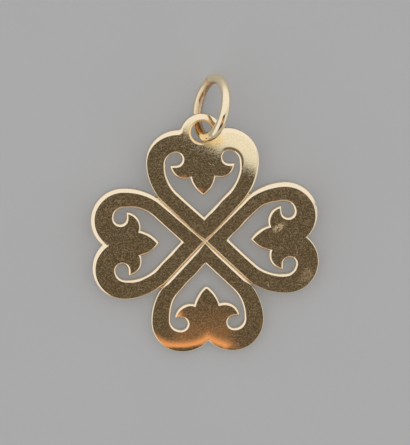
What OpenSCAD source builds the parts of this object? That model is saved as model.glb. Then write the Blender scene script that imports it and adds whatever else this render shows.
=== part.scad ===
// Four leaf clover pendant of pierced gold sheet, with a round wire jump ring.
// Millimetres. It lies face up: +Z is up, +Y runs from the clover to the ring, and the origin is
// on the surface below, in the middle of what the pendant covers.
// On the sheet itself, u runs to the right, v runs to the eyelet, and heights count from the back.

/* [Clover] */
// From the clover's middle to the outermost edge of each leaf
leaf_reach = 12.5; // [11.5:0.1:14]
// Thickness of the sheet
sheet_t = 1.2; // [0.8:0.05:1.6]
// Radius of the two round lobes that end a leaf
lobe_r = 3.56; // [3.2:0.02:4]
// From a leaf's middle line to the centre of each lobe
lobe_side = 2.67; // [2.4:0.01:2.9]
// Radius of the curve that runs from a lobe down the leaf's side
flank_r = 6.54; // [6:0.02:7]
// From the clover's middle to where two leaves part, along the groove between them
join_reach = 7.16; // [6.6:0.02:7.6]

/* [Windows] */
// Width of metal between a groove and the straight side of a window
arm_band = 1.87; // [1.5:0.01:2.1]
// Width of metal beside a window, where the leaf is widest
side_band = 2.16; // [1.9:0.01:2.4]
// Width of metal between a window's curls and the leaf's end
end_band = 2.55; // [2.2:0.01:2.8]
// Outer radius of the curl at each upper corner of a window
curl_r = 1.14; // [1:0.01:1.25]
// Radius of the round eye that the curl ends in
eye_r = 0.69; // [0.6:0.01:0.75]
// How far below the side petals' tips the window's side starts to curve
side_drop = 0.12; // [0.05:0.01:0.3]

/* [Petals in the windows] */
// Gap between the tip of a side petal and the window's side
mouth_w = 0.48; // [0.35:0.01:0.7]
// Radius of a side petal's lower edge
wing_r = 1.69; // [1.6:0.01:1.8]
// How far the centre of that radius lies above the side petal's tip
wing_rise = 0.13; // [0.05:0.01:0.3]
// Radius of the two curves of the middle petal
petal_r = 3.48; // [3.2:0.02:3.8]
// Half the width of the middle petal
petal_half = 1.52; // [1.35:0.01:1.6]
// From the window's point to the tip of the middle petal
tip_gap = 2.4; // [1.9:0.01:2.6]

/* [Bevels and grooves] */
// Width of the bevel along the leaves' outer edges
edge_w = 0.44; // [0.2:0.01:0.5]
// Depth of that bevel
edge_d = 0.3; // [0.15:0.01:0.4]
// Width of the bevel round the windows, their petals and the hole
bevel_w = 0.28; // [0.15:0.01:0.35]
// Depth of that bevel
bevel_d = 0.22; // [0.1:0.01:0.3]
// Width of the grooves between the leaves
groove_w = 0.54; // [0.3:0.01:0.7]
// Depth of those grooves
groove_d = 0.26; // [0.15:0.01:0.35]
// Radius of the round end of the slit between two leaves, where their groove runs out
slit_r = 0.12; // [0.1:0.01:0.16]

/* [Eyelet] */
// How far the hole's centre lies short of the leaves' reach
eyelet_sink = 0.28; // [0:0.02:0.8]
// Width of metal above the hole, at the very end
eyelet_rim = 0.81; // [0.75:0.01:1]
// How much larger the eyelet's outer radius is than its hole's
eyelet_side = 1.21; // [1:0.01:1.4]
// Room round the jump ring's wire where it slants through the hole
eyelet_play = 0.24; // [0.22:0.01:0.4]

/* [Jump ring] */
// Diameter of the ring's round wire
wire_d = 1.06; // [0.8:0.02:1.2]
// Outer diameter of the ring
ring_d = 7.52; // [7:0.02:8.4]

/* [How it lies] */
// Angle between the leaning ring and the surface
ring_lean = 66.4; // [60:0.2:70]
// Direction of the ring's low side, from the left towards the eyelet's end
ring_turn = 15.6; // [10:0.2:20]
// Angle round the ring from its lowest point to the place that is in the eyelet
ring_pass = 67.9; // [64:0.1:70]
// How far the wire's middle lies left of the hole's middle
wire_aside = 0.12; // [0:0.01:0.16]
// How far the wire's middle lies below the hole's middle
wire_below = 0.07; // [0:0.01:0.1]

/* [Hidden] */
$fn = 96;

// How far cutters run past the faces that they cut through
past = 0.4;

// Leaf outline
lobe_v = leaf_reach - lobe_r;
leaf_half = lobe_side + lobe_r;
flank_u = leaf_half - flank_r;

// Window outline, where the side's curve is tangent to the straight side at 45 degrees
point_v = arm_band * sqrt(2);
window_half = leaf_half - side_band;
curl_top = leaf_reach - end_band;
curl_u = window_half - curl_r;
curl_v = curl_top - curl_r;
eye_v = curl_top - eye_r;
shelf_v = curl_top - 2 * eye_r;
side_v = shelf_v - side_drop;
side_r = (side_v - window_half - point_v) / (sqrt(2) - 1);
side_u = window_half - side_r;
straight_l = norm([side_u + side_r / sqrt(2), side_v - side_r / sqrt(2) - point_v]);

// Petals
wing_u = window_half - mouth_w - sqrt(wing_r * wing_r - wing_rise * wing_rise);
wing_v = shelf_v + wing_rise;
petal_u = petal_r - petal_half;
petal_v = point_v + tip_gap + sqrt(petal_r * petal_r - petal_u * petal_u);

// Jump ring, with the directions from its centre to its lowest point and level round to the eyelet
wire_r = wire_d / 2;
ring_r = (ring_d - wire_d) / 2;
low_side = 180 - ring_turn;
low_dir = [cos(ring_lean) * cos(low_side), cos(ring_lean) * sin(low_side), -sin(ring_lean)];
level_dir = [-sin(low_side), cos(low_side), 0];

// Pitch of the sheet: the wire in the eyelet props that end up, and the far leaf stays down
eyelet_v = leaf_reach - eyelet_sink;
pass_v = eyelet_v - wire_below;
pass_z = wire_r + ring_r * sin(ring_lean) * (1 - cos(ring_pass));
prop_l = leaf_reach + pass_v;
pitch = asin(pass_z / norm([prop_l, sheet_t / 2])) - atan2(sheet_t / 2, prop_l);

// Hole of the eyelet, as wide as the wire needs at its slant to the sheet
wire_dir = level_dir * cos(ring_pass) - low_dir * sin(ring_pass);
slant = asin(wire_dir * [0, -sin(pitch), cos(pitch)]);
hole_r = wire_r / sin(slant) + sheet_t / 2 / tan(slant) + eyelet_play;
eyelet_r = hole_r + eyelet_side;
eyelet_low = eyelet_v - (eyelet_side - eyelet_rim);

// Centre of the ring, and the middle of the pendant's whole length
pass_at = [-wire_aside, pass_v * cos(pitch) - sheet_t / 2 * sin(pitch), pass_z];
ring_at = pass_at - ring_r * (low_dir * cos(ring_pass) + level_dir * sin(ring_pass));
ring_tilt_y = sin(ring_lean) * sin(low_side);
far_y = -leaf_reach * cos(pitch) - (sheet_t - edge_d) * sin(pitch);
top_y = ring_at.y + ring_r * sqrt(1 - ring_tilt_y * ring_tilt_y) + wire_r;
middle_y = (far_y + top_y) / 2;

// Section of metal from a centre out to its edge, with a bevel of width w and depth d
function metal(r, w, d) = [[0, 0], [r, 0], [r, sheet_t - d], [r - w, sheet_t], [0, sheet_t]];

// Section of a cutter from a centre out to its wall, flared to cut such a bevel and as far again
function cutter(r, w = bevel_w, d = bevel_d) =
    [[0, -past], [r, -past], [r, sheet_t - d], [r + 2 * w, sheet_t + d], [0, sheet_t + d]];

// A section turned about a centre, from an angle and over a span, which is negative if it goes clockwise
module sector(centre, section, from, span) {
    translate([centre.x, centre.y, 0])
        rotate([0, 0, from])
            rotate_extrude(angle = span)
                polygon(section);
}

// A straight cutter with its wall along a line: metal is to the right, and it is r deep to the left
module stretch(start, heading, length, r) {
    translate([start.x, start.y, 0])
        rotate([90, 0, heading + 90])
            linear_extrude(length)
                polygon([for (p = cutter(r)) [r - p.x, p.y]]);
}

module both_sides() {
    children();
    mirror([1, 0, 0])
        children();
}

module four_leaves() {
    for (turn = [0:90:270])
        rotate([0, 0, turn])
            children();
}

// The bevelled sheet before its windows, grooves and hole are cut
module blank() {
    rotate([0, 0, 45])
        linear_extrude(sheet_t)
            square(2 * join_reach, center = true);
    four_leaves()
        both_sides() {
            sector([flank_u, lobe_v], metal(flank_r, edge_w, edge_d), -90, 90);
            sector([lobe_side, lobe_v], metal(lobe_r, edge_w, edge_d), 0, 180);
        }
    sector([0, eyelet_low], metal(eyelet_r, edge_w, edge_d), 0, 360);
}

// The straight side of a window, from past its point to where the curve starts
module arm_cut() {
    back = -past / sqrt(2);
    stretch([back, point_v + back], 45, straight_l + past, 2 * straight_l);
}

// A window from its point up to the side petals' tips, round its three petals
module window_foot() {
    difference() {
        union() {
            intersection() {
                arm_cut();
                mirror([1, 0, 0])
                    arm_cut();
            }
            both_sides() {
                sector([side_u, side_v], cutter(side_r), 0, -45);
                stretch([window_half, side_v], 90, side_drop, window_half);
            }
        }
        intersection() {
            sector([petal_u, petal_v], metal(petal_r, bevel_w, bevel_d), 0, 360);
            sector([-petal_u, petal_v], metal(petal_r, bevel_w, bevel_d), 0, 360);
        }
        both_sides()
            sector([wing_u, wing_v], metal(wing_r, bevel_w, bevel_d), 0, 360);
    }
}

// The curl at an upper corner of a window, round to its eye
module curl() {
    sector([curl_u, curl_v], cutter(curl_r), 0, 90);
    sector([curl_u, eye_v], cutter(eye_r), 90, 180);
    stretch([window_half, shelf_v], 90, curl_v - shelf_v, curl_r);
    stretch([curl_u, shelf_v], 0, curl_r - mouth_w / 2, eye_r);
}

// A groove right across the clover, a little past the places where the leaves part
module groove() {
    top = sheet_t + groove_d;
    rotate([90, 0, 0])
        linear_extrude(2 * (join_reach + past), center = true)
            polygon([[0, sheet_t - groove_d], [groove_w, top], [-groove_w, top]]);
}

module clover_plate() {
    color([0.8, 0.65, 0.36])
        translate([0, -middle_y, leaf_reach * sin(pitch)])
            rotate([pitch, 0, 0])
                difference() {
                    blank();
                    four_leaves() {
                        window_foot();
                        both_sides()
                            curl();
                    }
                    for (turn = [45, -45])
                        rotate([0, 0, turn])
                            groove();
                    for (turn = [45:90:315])
                        rotate([0, 0, turn])
                            sector([0, join_reach], cutter(slit_r, edge_w, edge_d), 0, 360);
                    sector([0, eyelet_v], cutter(hole_r), 0, 360);
                }
}

module jump_ring() {
    color([0.9, 0.78, 0.52])
        translate(ring_at - [0, middle_y, 0])
            rotate([0, ring_lean, low_side])
                rotate_extrude()
                    translate([ring_r, 0])
                        circle(wire_r);
}

clover_plate();
jump_ring();
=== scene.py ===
import bmesh
import bpy
import numpy as np
from mathutils import Euler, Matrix
from mathutils.geometry import delaunay_2d_cdt


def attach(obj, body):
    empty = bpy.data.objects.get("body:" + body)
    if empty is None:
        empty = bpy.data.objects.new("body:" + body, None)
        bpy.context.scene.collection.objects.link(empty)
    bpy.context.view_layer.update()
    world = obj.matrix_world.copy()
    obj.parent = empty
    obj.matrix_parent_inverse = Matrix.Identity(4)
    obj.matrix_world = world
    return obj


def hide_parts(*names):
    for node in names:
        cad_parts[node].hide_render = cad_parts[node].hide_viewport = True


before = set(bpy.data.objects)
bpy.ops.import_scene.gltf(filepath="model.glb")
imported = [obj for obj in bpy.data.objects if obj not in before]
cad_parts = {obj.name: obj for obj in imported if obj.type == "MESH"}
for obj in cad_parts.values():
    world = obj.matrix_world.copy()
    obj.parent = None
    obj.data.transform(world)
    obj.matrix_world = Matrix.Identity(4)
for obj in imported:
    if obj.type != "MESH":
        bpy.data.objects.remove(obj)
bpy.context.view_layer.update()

# Where the sheet lies. It is propped a little by the ring, so its own directions are read from the
# packed plate: u to the right, v to the eyelet and w up from its flat back, in millimetres.
mm = 0.001


def corners_of(node):
    """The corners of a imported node's mesh, in millimetres."""
    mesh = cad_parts[node].data
    corners = np.empty(3 * len(mesh.vertices))
    mesh.vertices.foreach_get("co", corners)
    return corners.reshape(-1, 3) / mm


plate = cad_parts["clover_plate"].data
facing = np.empty(3 * len(plate.polygons))
plate.polygons.foreach_get("normal", facing)
facing = facing.reshape(-1, 3)
w_axis = -facing[facing[:, 2] < -0.99].mean(axis=0)
w_axis /= np.linalg.norm(w_axis)
u_axis = np.array([1.0, 0.0, 0.0])
v_axis = np.cross(w_axis, u_axis)
corners = corners_of("clover_plate")
leaf_reach = np.ptp(corners @ u_axis) / 2
sheet_t = np.ptp(corners @ w_axis)
middle = v_axis * ((corners @ v_axis).min() + leaf_reach) + w_axis * (corners @ w_axis).min()


def on_sheet(flat, w):
    """Places of the sheet's points, in metres: the middle plus u, v and w times their directions."""
    return mm * (middle + np.stack([flat.real, flat.imag, w], -1) @ [u_axis, v_axis, w_axis])


# The camera looks almost straight down, leaning a little to the eyelet's end and to the left. It
# stands far off with a long lens, so the picture has next to no perspective. One pixel covers
# 0.11 mm, and the clover's middle falls on clover_pixel.
picture_tall = 445
centre_pixel = np.array([204.5, 222.0])
clover_pixel = np.array([204.6, 240.8])
pixel = 0.11016
camera_turn = Euler(np.radians([-6.96, -2.77, -2.0]))
camera_far = 0.8
optics = bpy.data.cameras.new("camera")
optics.sensor_width = 36
optics.lens = optics.sensor_width * camera_far / (picture_tall * pixel * mm)
optics.clip_end = 10
camera = bpy.data.objects.new("camera", optics)
bpy.context.scene.collection.objects.link(camera)
bpy.context.scene.camera = camera
right, up, back = np.array(camera_turn.to_matrix()).T
shift = (centre_pixel - clover_pixel) * pixel * mm
target = on_sheet(np.array(0j), np.array(sheet_t)) + right * shift[0] - up * shift[1]
camera.location = target + back * camera_far
camera.rotation_euler = camera_turn

# The clover is sawn from one sheet of yellow gold, then pierced, filed and polished. Its outer edges
# and its windows are rounded over by hand, and four grooves are cut where the leaves meet.
# A point of the sheet is one complex number, u + iv. An edge runs level by level from wall to face.
lobe_r = 3.56
lobe_side = 2.67
join_reach = 7.16
lobe_c = lobe_side + 1j * (leaf_reach - lobe_r)
leaf_half = lobe_side + lobe_r
flank_r = (lobe_c.imag - leaf_half) / (np.sqrt(2) - 1)
flank_c = leaf_half - flank_r + 1j * lobe_c.imag
diagonal = np.exp(0.25j * np.pi)
foot = (flank_c * diagonal.conjugate()).real
slit_c = join_reach * diagonal
slit_r = abs(slit_c - flank_c) - flank_r
slit_angle = np.angle(slit_c - flank_c)

# The eyelet, a little lower than its hole, and the radius that its corner with the leaf is filed to
hole_r = 1.166
eyelet_sink = 0.28
hole_c = 1j * (leaf_reach - eyelet_sink)
eyelet_side = 1.21
eyelet_rim = 0.81
eyelet_r = hole_r + eyelet_side
eyelet_c = hole_c - 1j * (eyelet_side - eyelet_rim)
shoulder_r = 0.45

# The windows, from the widths of metal round them, and the curl and eye at their upper corners
arm_band = 1.87
side_band = 2.16
end_band = 2.55
curl_r = 1.14
eye_r = 0.69
side_drop = 0.12
point_v = arm_band * np.sqrt(2)
window_half = leaf_half - side_band
curl_top = leaf_reach - end_band
curl_c = window_half - curl_r + 1j * (curl_top - curl_r)
eye_c = curl_c.real + 1j * (curl_top - eye_r)
shelf_v = curl_top - 2 * eye_r
side_v = shelf_v - side_drop

# The side petals and the middle one, and the radii that their tips are filed to
mouth_w = 0.48
wing_r = 1.69
wing_rise = 0.13
wing_c = window_half - mouth_w - np.sqrt(wing_r ** 2 - wing_rise ** 2) + 1j * (shelf_v + wing_rise)
petal_r = 3.48
petal_half = 1.52
tip_gap = 2.4
petal_u = petal_r - petal_half
petal_c = -petal_u + 1j * (point_v + tip_gap + np.sqrt(petal_r ** 2 - petal_u ** 2))
tip_r = 0.13
blunt_r = 0.35

# The rounded edges: a full outer one, those of the windows and the hole, and the back's
edge_w = 0.5
edge_d = 0.22
bevel_w = 0.24
bevel_d = 0.2
back_round = 0.07

# The grooves: a side's width in the middle and where the leaves part, and the share by which it is
# wider where it looks up the picture and narrower where it looks down
groove_d = 0.24
groove_in = 0.16
groove_out = 0.25
groove_lean = 0.65

# Spacing of the mesh's points along the edges and over the faces, and the width of a strip beside
# each edge that keeps its shading off the flat
step = 0.11
face_step = 0.3
guard = 0.03

# How wide the file rounded each leaf's outer edge, where it looks right, up, left and down
filed = {
    "top": (0.24, 0.46, 0.11, 0.03),
    "left": (0.20, 0.40, 0.44, 0.18),
    "bottom": (0.08, 0.07, 0.13, 0.14),
    "right": (0.10, 0.46, 0.02, 0.10),
}

# Where the buffing wheel dipped or a knock left a mark: place, reach and depth
dents = np.array([
    (-3.3 - 8.6j, 0.55, 0.08),
    (-2.2 + 6.9j, 0.45, 0.05),
    (-0.4 + 5.3j, 0.6, 0.05),
    (9.5 + 3.8j, 0.3, 0.02),
    (6.3 - 1.8j, 0.6, 0.06),
    (12.45 + 3.6j, 0.14, 0.2),
])

# How the wheel wore the face away. The top leaf rolls off along roll_way, for a while ever more
# steeply, and the bottom leaf past a line across it and past an oval in each of its lobes.
roll_way = np.exp(1j * np.radians(57.6))
roll_start = 8.1
roll_reach = 2.9
roll_gentle = 52
low_start = 5.6
low_gentle = 240
oval_r = 2
oval_narrow = 0.8
oval_gentle = 18


def steps(length):
    """Even shares from 0 to 1 along a stretch of that length."""
    return np.linspace(0, 1, max(4, round(length / step)))


def arc(centre, radius, start, end, share):
    """Circle: centre + radius * (cos a + i sin a), with the angle a going from start to end."""
    return centre + radius * np.exp(1j * (start + (end - start) * share))


def joined(*stretches):
    """One stretch after another, where each starts at the point that the last one ended on."""
    return np.concatenate([stretches[0], *(s[1:] for s in stretches[1:])])


def crossing(a, a_r, b, b_r):
    """The first point, going clockwise, where two circles cross, by the law of cosines seen from a."""
    gap = abs(b - a)
    turn = np.arccos((a_r ** 2 + gap ** 2 - b_r ** 2) / (2 * a_r * gap))
    return a + a_r * np.exp(1j * (np.angle(b - a) - turn))


def eased(x):
    """Smooth step: 3x^2 - 2x^3 between 0 and 1."""
    x = np.clip(x, 0, 1)
    return x * x * (3 - 2 * x)


flank_start = np.linspace(-np.pi / 4, slit_angle, 12)
flank_rest = slit_angle * (1 - steps(flank_r * -slit_angle))
shoulder_c = crossing(lobe_c, lobe_r + shoulder_r, eyelet_c, eyelet_r + shoulder_r)


def groove_side(part, more):
    """The groove's side from the middle: a straight line, then the flank's first degrees."""
    inset = part * edge_w + more
    start = 1j * np.sqrt(2) * inset
    end = flank_c + (flank_r - inset) * diagonal.conjugate()
    flank = flank_c + (flank_r - inset) * np.exp(1j * flank_start)
    return joined(start + (end - start) * steps(foot), flank)


def leaf_side(part, more, eyelet):
    """A leaf's free edge from the slit to its axis: flank, lobe, and where it has one the eyelet."""
    inset = part * edge_w + more
    flank = flank_c + (flank_r - inset) * np.exp(1j * flank_rest)
    if not eyelet:
        end = np.arccos(-lobe_side / (lobe_r - inset))
        return joined(flank, arc(lobe_c, lobe_r - inset, 0, end, steps(lobe_r * 2.4)))
    end = np.angle(shoulder_c - lobe_c)
    low = np.angle(shoulder_c - eyelet_c)
    return joined(
        flank,
        arc(lobe_c, lobe_r - inset, 0, end, steps(lobe_r * end)),
        arc(shoulder_c, shoulder_r + inset, end - np.pi, low - np.pi, steps(1.2)),
        arc(eyelet_c, eyelet_r - inset, low, np.pi / 2, steps(eyelet_r * 1.4)),
    )


def window_side(inset, low_r):
    """Right half of a window, moved by inset into the metal: arcs and lines from its point round the
    curl and the side petal to the middle one, whose tip is rounded to low_r."""
    side_r = (side_v - window_half - point_v) / (np.sqrt(2) - 1)
    side_c = window_half - side_r + 1j * side_v
    point = 1j * np.sqrt(2) * (arm_band - inset)
    bend = side_c + (side_r + inset) * diagonal.conjugate()
    held = max(inset, tip_r)
    wing_tip = wing_c.real + np.sqrt((wing_r - held) ** 2 - (shelf_v - held - wing_c.imag) ** 2)
    wing_tip = wing_tip + 1j * (shelf_v - held)
    wing_angle = np.angle(wing_tip - wing_c)
    crotch = crossing(petal_c, petal_r - inset, wing_c, wing_r - inset)
    low_held = max(inset, low_r)
    low_tip = 1j * (petal_c.imag - np.sqrt((petal_r - low_held) ** 2 - petal_c.real ** 2))
    low_angle = np.angle(low_tip - petal_c)
    eye_end = eye_c - 1j * (eye_r + inset)
    shelf_end = wing_tip + 1j * (held - inset)
    return joined(
        point + (bend - point) * steps(4),
        arc(side_c, side_r + inset, -np.pi / 4, 0, steps(side_r * 0.8)),
        window_half + inset + 1j * (side_v + (curl_c.imag - side_v) * steps(0.36)),
        arc(curl_c, curl_r + inset, 0, np.pi / 2, steps(curl_r * 1.8)),
        arc(eye_c, eye_r + inset, np.pi / 2, 3 * np.pi / 2, steps(eye_r * 4)),
        eye_end + (shelf_end - eye_end) * steps(0.7),
        arc(wing_tip, held - inset, np.pi / 2, wing_angle, steps(0.6)),
        arc(wing_c, wing_r - inset, wing_angle, np.angle(crotch - wing_c), steps(wing_r * 2.2)),
        arc(petal_c, petal_r - inset, np.angle(crotch - petal_c), low_angle, steps(petal_r * 0.9)),
        arc(low_tip, low_held - inset, low_angle, -np.pi / 2, steps(0.6)),
    )


def ring_of(half):
    """A closed outline from its right half, whose two ends lie on the axis."""
    return np.concatenate([half, -half[-2:0:-1].conjugate()])


def hole(inset):
    """The eyelet's hole, moved by inset into the metal."""
    return arc(hole_c, hole_r + inset, 0, 2 * np.pi, np.arange(80) / 80)


def both_sides(half):
    """A size along a closed outline, from the sizes along its right half."""
    return np.concatenate([half, half[-2:0:-1]])


def edge_levels(low, high, power):
    """Section of a rounded edge, whose slope at share t of its width is low + (high - low) t^power.
    Gives shares of the width, from the wall inwards, and of the depth, from the face down."""
    t = np.linspace(0, 1, 11)
    fall = np.tan(np.radians(low + (high - low) * t ** power))
    depth = np.concatenate([[0], np.cumsum(fall[1:] + fall[:-1])])
    return 1 - t[::-1], depth[::-1] / depth[-1]


def worn_down(flat):
    """How far the polished face lies below the sheet's full thickness, in millimetres. The top
    leaf falls by distance^2 / roll_gentle from its line, and past roll_reach straight on. The
    bottom leaf falls by distance^2 / low_gentle from its line and by distance^3 / oval_gentle from
    its ovals, both fading to the sides. A dent is a bell: depth * exp(-(distance / reach)^2)."""
    past = np.maximum((flat / roll_way).real - roll_start, 0) * (flat.imag > flat.real)
    bent = np.minimum(past, roll_reach)
    rolled = bent * (2 * past - bent) / roll_gentle

    past_line = np.maximum(-flat.imag - low_start, 0)
    line_share = eased((4.8 - abs(flat.real + 0.6)) / 2.6) * (-flat.imag > abs(flat.real))
    from_lobe = np.maximum(-flat.imag - lobe_c.imag, 0) + 1j * oval_narrow * (abs(flat.real) - lobe_side)
    past_oval = np.maximum(abs(from_lobe) - oval_r, 0)
    oval_share = eased((4.4 - flat.real) / 4.6) * eased((-flat.imag - 9.4) / 1.4)
    lowered = past_line ** 2 / low_gentle * line_share + past_oval ** 3 / oval_gentle * oval_share

    place, reach, depth = dents.T
    bells = depth.real * np.exp(-(abs(flat[..., None] - place) / reach.real) ** 2)
    return rolled + lowered + bells.sum(axis=-1)


flats, heights, edge_marks, groove_marks, cells = [], [], [], [], []


def add_points(flat, w, edge=0.0, groove=0.0):
    """Adds points of the sheet, marked 1 on a rounded edge or in a groove, and gives the number of
    the first."""
    first = sum(map(len, flats))
    for kept, values in (flats, flat), (heights, w), (edge_marks, edge), (groove_marks, groove):
        kept.append(np.broadcast_to(values, flat.shape).ravel())
    return first


def add_grid(flat, w, closed, edge=1.0, groove=0.0):
    """Adds rows of points, and a face between each point, the next one and those of the next row."""
    number = add_points(flat, w, edge, groove) + np.arange(flat.size).reshape(flat.shape)
    if closed:
        number = np.hstack([number, number[:, :1]])
    around = [number[:-1, :-1], number[:-1, 1:], number[1:, 1:], number[1:, :-1]]
    cells.extend(np.stack(around, -1).reshape(-1, 4).tolist())


def within(spots, outlines):
    """Which points lie inside: a ray to the right crosses the outlines an odd number of times."""
    start = np.concatenate(outlines)
    end = np.concatenate([np.roll(o, -1) for o in outlines])
    spots = spots[:, None]
    crosses = (start.imag > spots.imag) != (end.imag > spots.imag)
    rise = np.where(start.imag == end.imag, 1, end.imag - start.imag)
    at = start.real + (spots.imag - start.imag) * (end.real - start.real) / rise
    return (crosses & (spots.real < at)).sum(axis=1) % 2 == 1


def add_face(outlines, w):
    """Triangles between outlines: a lattice of points all round them is joined up with their own
    points, and what lies outside is left out."""
    rim = np.concatenate(outlines)
    u, v = np.meshgrid(np.arange(rim.real.min() - 1, rim.real.max() + 1, face_step),
                       np.arange(rim.imag.min() - 1, rim.imag.max() + 1, face_step * np.sqrt(0.75)))
    lattice = (u + face_step / 2 * (np.arange(len(u)) % 2)[:, None] + 1j * v).ravel()
    lattice = lattice[abs(lattice[:, None] - rim).min(axis=1) > 0.6 * face_step]
    spots = np.concatenate([rim, lattice])
    number = np.split(np.arange(len(rim)), np.cumsum([len(o) for o in outlines])[:-1])
    edges = np.concatenate([np.stack([n, np.roll(n, -1)], -1) for n in number])
    spots, _, made, *_ = delaunay_2d_cdt(
        np.stack([spots.real, spots.imag], -1).tolist(), edges.tolist(), [], 0, 1e-7)
    spots, made = np.array(spots) @ [1, 1j], np.array(made)
    made = made[within(spots[made].mean(axis=1), outlines)]
    used, made = np.unique(made, return_inverse=True)
    cells.extend((made.reshape(-1, 3) + add_points(spots[used], w)).tolist())


def wall_rows(outline, tops):
    """Wall below a rounded edge, row by row: straight down from its tops, then a quarter round into
    the back. A row is the outline moved into the metal, at its own heights."""
    angle = np.linspace(0, np.pi / 2, 4)
    insets = [0, 0, *(back_round * (1 - np.cos(angle))), back_round + guard]
    low = [back_round * (1 - np.sin(a)) + 0 * tops for a in angle]
    return np.array([outline(i) for i in insets]), np.array([tops, tops - guard, *low, 0 * tops])


def edge_sizes(looks, past_slit, rim_w):
    """Widths and depths of an edge. looks is the angle from straight up that it looks in, and
    past_slit counts the points past the slit. A free edge has the width rim_w, and its depth goes
    with the square root of that. A groove's side widens evenly from the middle outwards, and after a
    sixth of its way also by groove_lean times the cosine of the angle. Its width turns to the free
    edge's over the last dozen points before the slit, and its depth over the first four past it."""
    way = np.clip(1 + past_slit / -past_slit.min(), 0, 1)
    lean = 1 + groove_lean * np.minimum(6 * way, 1) * np.cos(looks)
    side_w = (groove_in + (groove_out - groove_in) * way) * lean
    width = side_w + (rim_w - side_w) * eased((past_slit + 12) / 14)
    depth = groove_d + (edge_d * np.sqrt(rim_w / edge_w) - groove_d) * eased(past_slit / 4)
    return width, depth


def add_groove_floor(turn, bend):
    """Both halves of the floor that opens where the leaves part: lines across from the flank to the
    diagonal, drawn to the slit's round end, bend, by the fourth power of the share of the way."""
    share = (flank_start + np.pi / 4)[:, None] / (slit_angle + np.pi / 4)
    side = (flank_c + flank_r * np.exp(1j * flank_start))[:, None]
    across = np.linspace(0, 1, len(bend))
    chord = side + (diagonal * (side * diagonal.conjugate()).real - side) * across
    floor = chord + share ** 4 * (bend - chord[-1])
    add_grid(turn * floor, sheet_t - groove_d, False, 1.0, 1.0)
    add_grid(turn * -floor.conjugate(), sheet_t - groove_d, False, 1.0, 1.0)


def add_leaf(turn, eyelet, filed_w, low_r):
    """One leaf, turned to its place: its rounded edge with the groove's sides, the walls and the
    groove's floor, then its window, and the faces in between. The filed widths count by the squared
    cosines of the angles between their directions and the one that the edge looks in."""
    part, down = edge_levels(12, 40, 1.1)
    levels = [(p, 0) for p in part] + [(1, guard)]
    down = np.append(down, 0)[:, None]
    rows = [ring_of(joined(groove_side(*level), leaf_side(*level, eyelet))) for level in levels]
    rows = turn * np.array(rows)
    slit = len(groove_side(0, 0)) - 1
    half = slit + len(leaf_side(0, 0, eyelet))
    past_slit = both_sides(np.arange(half) - slit)
    looks = np.angle(rows[0] - rows[-1]) - np.pi / 2 * np.arange(4)[:, None]
    rim_w = filed_w @ np.maximum(np.cos(looks), 0) ** 2
    width, depth = edge_sizes(looks[1], past_slit, rim_w)
    rows = rows[0] + (rows - rows[0]) * width / edge_w
    on_edge = (down > 0) + (np.arange(len(down)) < len(part))[:, None]
    add_grid(rows, sheet_t - down * depth, True, on_edge, on_edge * (1 - eased(past_slit / 4)))
    faces = [rows[-1] / turn]
    bend_steps = np.linspace(0, 1, 6)

    def wall(inset):
        """The wall's outline: a quarter of the slit's round end, then the leaf's free edge."""
        bend = arc(slit_c, slit_r + inset, -0.75 * np.pi, slit_angle - np.pi, bend_steps)
        return joined(bend, leaf_side(0, inset, eyelet))

    # The wall on the right and its mirror image, each up to the lip that its own edge leaves
    for side, lips in (1, depth[:half]), (-1, np.roll(depth[::-1], 1)[:half]):
        tops = sheet_t - joined(np.full(len(bend_steps), lips[slit]), lips[slit:])
        rows, w = wall_rows(wall, tops)
        add_grid(turn * (rows if side > 0 else -rows.conjugate()), w, False)

    # The back's outline also runs from the middle to the slit, where the leaves join
    to_middle = np.linspace(0, 1, 40)
    unders = [ring_of(joined(rows[-1][0] * to_middle, rows[-1]))]
    add_groove_floor(turn, wall(0)[:len(bend_steps)][::-1])

    def window(inset):
        """The window's outline, moved by inset into the metal."""
        return ring_of(window_side(inset, low_r))

    part, down = edge_levels(25, 52, 1)
    down = np.append(down, 0)[:, None]
    for outline in (window, hole) if eyelet else (window,):
        rows = np.array([outline(inset) for inset in [*(part * bevel_w), bevel_w + guard]])
        filing = 0.88 + 0.12 * np.sin(2.3 * (turn * rows[0]).real + 1.4 * (turn * rows[0]).imag)
        rows = rows[0] + (rows - rows[0]) * filing
        add_grid(turn * rows, sheet_t - down * bevel_d * filing, True, on_edge)
        faces.append(rows[-1])
        rows, w = wall_rows(outline, sheet_t - bevel_d * filing)
        add_grid(turn * rows, w, True)
        unders.append(rows[-1])
    add_face([turn * outline for outline in faces], sheet_t)
    add_face([turn * outline for outline in unders], 0.0)


for turn, leaf in zip([1, 1j, -1, -1j], filed):
    add_leaf(turn, leaf == "top", np.array(filed[leaf]), blunt_r if leaf == "bottom" else tip_r)

# Where the face is worn down, all heights above the flat back shrink alike. Walls, edges and faces
# meet in the same points, so that merging these closes the sheet.
flat, w = np.concatenate(flats), np.concatenate(heights)
mesh = bpy.data.meshes.new("clover_sheet")
mesh.from_pydata(on_sheet(flat, w - worn_down(flat) * w / sheet_t), [], cells)
for name, marks in ("edge", edge_marks), ("groove", groove_marks):
    marks = np.concatenate(marks).astype(np.float32)
    mesh.attributes.new(name, "FLOAT", "POINT").data.foreach_set("value", marks)
work = bmesh.new()
work.from_mesh(mesh)
bmesh.ops.remove_doubles(work, verts=work.verts, dist=2e-7)
bmesh.ops.recalc_face_normals(work, faces=work.faces)
work.to_mesh(mesh)
work.free()
mesh.shade_smooth()
sheet = bpy.data.objects.new("clover_sheet", mesh)
bpy.context.scene.collection.objects.link(sheet)
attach(sheet, "root")
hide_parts("clover_plate")


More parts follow.
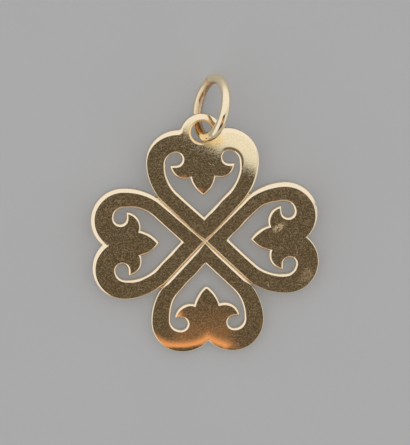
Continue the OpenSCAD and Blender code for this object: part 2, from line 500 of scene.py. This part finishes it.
class Value:
    """A value in a shader. Arithmetic on it adds Math nodes, and node() adds any other node."""

    def __init__(self, tree, socket=None):
        self.tree, self.socket = tree, socket

    def node(self, kind, settings=(), inputs=(), output=0):
        """Adds a node: its settings first, then the values or links of its sockets."""
        made = self.tree.nodes.new(kind)
        for name, setting in dict(settings).items():
            setattr(made, name, setting)
        for name, value in dict(inputs).items():
            if isinstance(value, Value):
                self.tree.links.new(value.socket, made.inputs[name])
            else:
                made.inputs[name].default_value = value
        return Value(self.tree, made.outputs[output])

    def math(self, operation, *others):
        """Adds a Math node on this and the others."""
        return self.node("ShaderNodeMath", {"operation": operation}, enumerate([self, *others]))

    def __add__(self, other):
        return self.math("ADD", other)

    def __sub__(self, other):
        return self.math("SUBTRACT", other)

    def __mul__(self, other):
        return self.math("MULTIPLY", other)

    def __rsub__(self, other):
        return self * -1 + other

    __radd__, __rmul__ = __add__, __mul__

    def rise(self, low, high):
        """0 below low and 1 above high, smooth between them."""
        return self.node("ShaderNodeMapRange", {"interpolation_type": "SMOOTHSTEP"},
                         {0: self, 1: low, 2: high})

    def mixed(self, a, b):
        """Colour a where this is 0 and b where it is 1."""
        return self.node("ShaderNodeMix", {"data_type": "RGBA"}, {0: self, 6: a, 7: b}, 2)

    def noise(self, scale, detail=2, rough=0.5):
        """Cloudy noise on a place, with so many waves to the millimetre."""
        return self.node("ShaderNodeTexNoise", inputs={
            "Vector": self, "Scale": scale, "Detail": detail, "Roughness": rough})

    def blot(self, place, turn, size):
        """1 in an ellipse on the sheet, soft to 0 at its rim."""
        where = self.node("ShaderNodeMapping", {"vector_type": "TEXTURE"}, {
            "Vector": self, "Location": (place.real, place.imag, 0),
            "Rotation": (0, 0, np.radians(turn)), "Scale": (size[0] / 2, size[1] / 2, 1000)})
        far = where.node("ShaderNodeVectorMath", {"operation": "LENGTH"}, {0: where}, "Value")
        return 1 - far.rise(0.4, 1)

    def axes(self):
        """The x, y and z of a vector."""
        split = self.node("ShaderNodeSeparateXYZ", inputs={0: self}).socket.node
        return [Value(self.tree, socket) for socket in split.outputs]


def rgb(red, green, blue):
    """A colour that covers fully."""
    return red, green, blue, 1


def new_finish(name, colour, rough, metal):
    """A new material, its first value and its shader, with what is the same all over set on it."""
    made = bpy.data.materials.new(name)
    made.use_nodes = True
    shader = made.node_tree.nodes["Principled BSDF"]
    shader.inputs["Base Color"].default_value = rgb(*colour)
    shader.inputs["Roughness"].default_value = rough
    shader.inputs["Metallic"].default_value = metal
    return made, Value(made.node_tree), shader


def drive(shader, **sockets):
    """Links values to the shader's sockets."""
    for name, value in sockets.items():
        value.tree.links.new(value.socket, shader.inputs[name.replace("_", " ")])


def places(value, origin):
    """Object coordinates in millimetres, counted from a place on the object."""
    spot = value.node("ShaderNodeTexCoord", output="Object")
    return spot.node("ShaderNodeMapping", inputs={
        "Vector": spot, "Location": -origin, "Scale": (1 / mm,) * 3})


# The sheet's gold is a warm mirror full of fine marks. Its filed edges are brighter and cleaner, and
# the grooves keep the matt grain of the graver. Beside the eyelet the gold is yellower where a warm
# reflection of the ring is painted into it, and a painted dark reflection follows the right curl of
# the top leaf. A mark has a place, a direction and a size.
scratches = [
    (0.78 + 8.62j, -42, (0.6, 0.07)),
    (1.18 + 8.50j, -50, (0.5, 0.06)),
    (6.84 - 5.14j, 84, (0.75, 0.06)),
    (10.14 - 1.68j, 60, (0.22, 0.12)),
    (-6.3 + 1.9j, 20, (0.7, 0.05)),
    (3.1 - 7.2j, 75, (0.6, 0.05)),
]
olive_gold = rgb(0.84, 0.7, 0.45)
pale_gold = rgb(1.0, 0.86, 0.58)
# Colour of the painted warm reflection of the ring beside the eyelet
ring_reflection_gold = rgb(0.97, 0.71, 0.34)
filed_gold = rgb(0.96, 0.81, 0.59)
# Colour of the painted dark reflection beside the right curl of the top leaf
curl_reflection_dark = rgb(0.2, 0.15, 0.08)
gold, value, shader = new_finish("polished_gold", (0.9, 0.755, 0.53), 0.12, 1)
spot = places(value, middle + w_axis * sheet_t)
edge = value.node("ShaderNodeAttribute", {"attribute_name": "edge"}, output="Fac")
groove = value.node("ShaderNodeAttribute", {"attribute_name": "groove"}, output="Fac")
plain = 1 - edge
grain = spot.noise(5, 2, 0.7)
speck = grain.rise(0.36, 0.64)
cloud = spot.noise(0.45, 2)
wave = spot.noise(0.3, 1)
strokes = spot.node("ShaderNodeMapping", inputs={
    "Vector": spot, "Rotation": (0, 0, np.radians(24)), "Scale": (0.5, 9, 1)}).noise(1)
worn_patch = spot.blot(8.1 + 1.2j, 35, (1.9, 1.1)) * spot.noise(3).rise(0.3, 0.6)
haze = spot.blot(11.1 - 4.2j, 60, (2.6, 1.6)) + spot.blot(11 + 4.6j, -40, (2.4, 1.2)) * 0.4
marks = worn_patch * 0.7 + haze * 0.25
for place, turn, size in scratches:
    marks = marks + spot.blot(place, turn, size)
u, v, _ = spot.axes()
# Painted reflection: a thin dark band just outside the right curl of the top leaf, where the face would
# mirror dark
round_curl = spot.blot(curl_c, 0, (3.6, 3.6))
painted_curl_reflection = round_curl.rise(0.02, 0.15) - round_curl.rise(0.6, 0.7)
painted_curl_reflection = painted_curl_reflection * u.rise(1.9, 2.6) * v.rise(7.6, 8.2)
# Painted reflection: warm blots on the sheet beside the eyelet, where the ring would mirror onto it
painted_ring_reflection = spot.blot(1.3 + 11.1j, 10, (3, 1.9)) + spot.blot(-2.1 + 12j, 40, (1.8, 1.2)) * 0.6
face_gold = painted_ring_reflection.mixed((speck * 0.75 + cloud * 0.3).mixed(olive_gold, pale_gold), ring_reflection_gold)
wear = speck * 0.085 + strokes.rise(0.6, 0.75) * 0.06 + marks * 0.3
# Base colour: filed gold on the edges, and on the face the mottled gold with both painted reflections
drive(
    shader,
    Base_Color=edge.mixed((plain * painted_curl_reflection).mixed(face_gold, curl_reflection_dark), filed_gold),
    Roughness=plain * wear + groove * 0.12 + 0.09,
    Normal=value.node("ShaderNodeBump", inputs={
        "Distance": 2e-6, "Height": plain * (grain + strokes * 0.3 - 0.65) + wave * 10}),
)
sheet.data.materials.append(gold)

# The jump ring is round gold wire, bent to a circle and closed with solder. The seam shows as a
# coppery line with a slight waist. The wire is browner inside the ring and duller at its far end.
points = corners_of("jump_ring")
ring_c = (points.min(axis=0) + points.max(axis=0)) / 2
ring_axis = np.linalg.svd(points - ring_c, full_matrices=False)[2][2]
ring_axis = ring_axis * np.sign(ring_axis[0])
ring_top = np.array([0, 0, 1]) - ring_axis * ring_axis[2]
ring_top = ring_top / np.linalg.norm(ring_top)
ring_side = np.cross(ring_axis, ring_top)
out = points - ring_c
out = np.linalg.norm(out - (out @ ring_axis)[:, None] * ring_axis, axis=1)
wire_r = np.ptp(out) / 2
ring_r = (out.max() + out.min()) / 2
seam_at = np.radians(238)
seam_w = 0.2
seam_waist = 0.04
turns, rounds = 240, 40


def wire_skin(a, b):
    """Torus: centre + (ring_r + wire cos b) (cos a top + sin a side) + wire sin b axis, where the
    wire's radius has a waist at the seam, 1 - waist * exp(-(length from the seam / width)^2)."""
    gap = (a - seam_at + np.pi) % (2 * np.pi) - np.pi
    seam = np.exp(-(gap * ring_r / seam_w) ** 2)
    wire = wire_r * (1 - seam_waist * seam)
    way = np.cos(a)[..., None] * ring_top + np.sin(a)[..., None] * ring_side
    reach = ring_r + wire * np.cos(b)
    return ring_c + reach[..., None] * way + (wire * np.sin(b))[..., None] * ring_axis, seam


# a runs round the ring from its top, and b round the wire from the ring's outer side
a, b = np.meshgrid(2 * np.pi * np.arange(turns) / turns, 2 * np.pi * np.arange(rounds) / rounds)
skin, seam = wire_skin(a, b)
number = np.arange(turns * rounds).reshape(rounds, turns)
after, above = np.roll(number, -1, axis=1), np.roll(number, -1, axis=0)
around = [number, after, np.roll(after, -1, axis=0), above]
mesh = bpy.data.meshes.new("jump_ring_wire")
mesh.from_pydata(mm * skin.reshape(-1, 3), [], np.stack(around, -1).reshape(-1, 4).tolist())
for name, marks in ("seam", seam), ("inside", eased(0.1 - np.cos(b + 0.35))):
    marks = marks.ravel().astype(np.float32)
    mesh.attributes.new(name, "FLOAT", "POINT").data.foreach_set("value", marks)
work = bmesh.new()
work.from_mesh(mesh)
bmesh.ops.recalc_face_normals(work, faces=work.faces)
work.to_mesh(mesh)
work.free()
mesh.shade_smooth()
ring = bpy.data.objects.new("jump_ring_wire", mesh)
bpy.context.scene.collection.objects.link(ring)
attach(ring, "root")
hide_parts("jump_ring")

deep_gold = rgb(0.9, 0.75, 0.5)
light_gold = rgb(0.99, 0.87, 0.64)
brown_gold = rgb(0.6, 0.42, 0.26)
seam_copper = rgb(0.85, 0.52, 0.3)
wire_gold, value, shader = new_finish("wire_gold", (0.94, 0.79, 0.53), 0.14, 1)
spot = places(value, ring_c)
seam = value.node("ShaderNodeAttribute", {"attribute_name": "seam"}, output="Fac")
inside = value.node("ShaderNodeAttribute", {"attribute_name": "inside"}, output="Fac")
grain = spot.noise(3, 3, 0.7)
dull = spot.axes()[1].rise(1.2, 3)
wire_colour = (inside * (grain + 0.4)).mixed(grain.mixed(deep_gold, light_gold), brown_gold)
drive(
    shader,
    Base_Color=seam.mixed(wire_colour, seam_copper),
    Roughness=grain * 0.1 + inside * 0.1 + seam * 0.1 + dull * 0.3 + 0.06,
    Normal=value.node("ShaderNodeBump", inputs={"Distance": 6e-6, "Height": grain}),
)
ring.data.materials.append(wire_gold)

# The pendant lies on plain pale grey card with a faint fibre. The card glows a little, in place of
# the light that a real room throws in under the leaves.
card, value, shader = new_finish("grey_card", (0.33, 0.335, 0.34), 0.9, 0)
spot = places(value, np.zeros(3))
fibre = spot.noise(2, 3)
shade = (fibre * 0.3 + spot.noise(0.05) * 0.7).mixed(rgb(0.31, 0.315, 0.32), rgb(0.35, 0.355, 0.36))
drive(shader, Base_Color=shade,
      Normal=value.node("ShaderNodeBump", inputs={"Distance": 5e-6, "Height": fibre}))
shader.inputs["Emission Color"].default_value = rgb(1, 1, 1)
shader.inputs["Emission Strength"].default_value = 0.14
bpy.ops.mesh.primitive_plane_add(size=3)
floor = bpy.context.object
floor.name = "floor"
floor.data.materials.append(card)

# Soft studio light from all round, by the direction that it comes from. x and y are counted from
# the direction that the flat faces mirror, which is dark. A pale bank reaches from behind to the
# zenith, pale screens stand at the sides and low in front, and a small copper one is up in front.
bank = rgb(0.92, 0.92, 0.92)
copper = rgb(0.92, 0.42, 0.2)
dark = rgb(0.088, 0.073, 0.052)
studio = bpy.data.worlds.new("studio")
bpy.context.scene.world = studio
studio.use_nodes = True
way = Value(studio.node_tree).node("ShaderNodeTexCoord", output="Generated")
x, y, z = way.axes()
mirrored = 2 * (back @ w_axis) * w_axis - back
x, y = x - mirrored[0], y - mirrored[1]
behind = (y - x * x * 0.45).rise(0.09, 0.115)
left = y.rise(-0.7, -0.5) * (0 - x).rise(0.32, 0.4)
right_hand = y.rise(-0.6, -0.4) * x.rise(0.32, 0.4)
in_front = (0.42 - z).rise(0, 0.1) * 0.5
glow = (0 - y).rise(0.03, 0.27) * y.rise(-0.44, -0.31) * (0.5 - x * x * 8).rise(0, 0.3)
light = in_front.mixed(glow.mixed(dark, copper), bank)
light = behind.math("MAXIMUM", left.math("MAXIMUM", right_hand * 0.8)).mixed(light, bank)
seen = light.node("ShaderNodeLightPath", output="Is Camera Ray")
light = seen.mixed(light, rgb(0.45, 0.45, 0.44))
drive(studio.node_tree.nodes["Background"], Color=light)
bpy.context.scene.view_settings.view_transform = "Standard"
